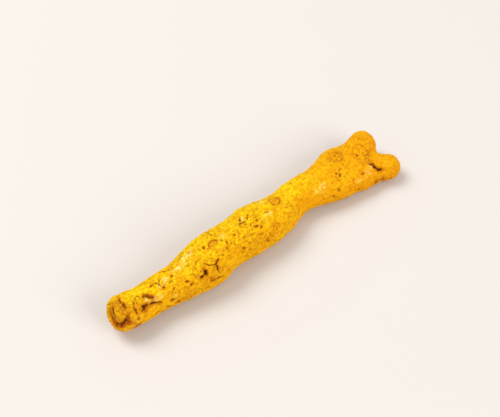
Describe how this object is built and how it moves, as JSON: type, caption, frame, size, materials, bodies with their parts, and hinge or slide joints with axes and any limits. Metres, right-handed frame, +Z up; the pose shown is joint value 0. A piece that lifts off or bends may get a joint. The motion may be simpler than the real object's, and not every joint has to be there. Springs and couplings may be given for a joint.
{
  "type": "turmeric root",
  "caption": "Dried turmeric finger, slightly curved, broken flat at one end and forked into rounded knobs at the other, lying on its belly.",
  "frame": {"origin": "on the surface that the root lies on, under the middle of its bounding box", "axes": "+X along the root, from its broken end to its knobs; +Z up, out of the surface that it lies on; +Y to the side of the main knob"},
  "size_m": [0.0744, 0.0134, 0.0098],
  "materials": {
    "dried_rind": "matt, dusty golden-yellow rind with brown pits and cracks"
  },
  "bodies": {
    "root": {"turmeric_root": "dried_rind"}
  },
  "joints": []
}
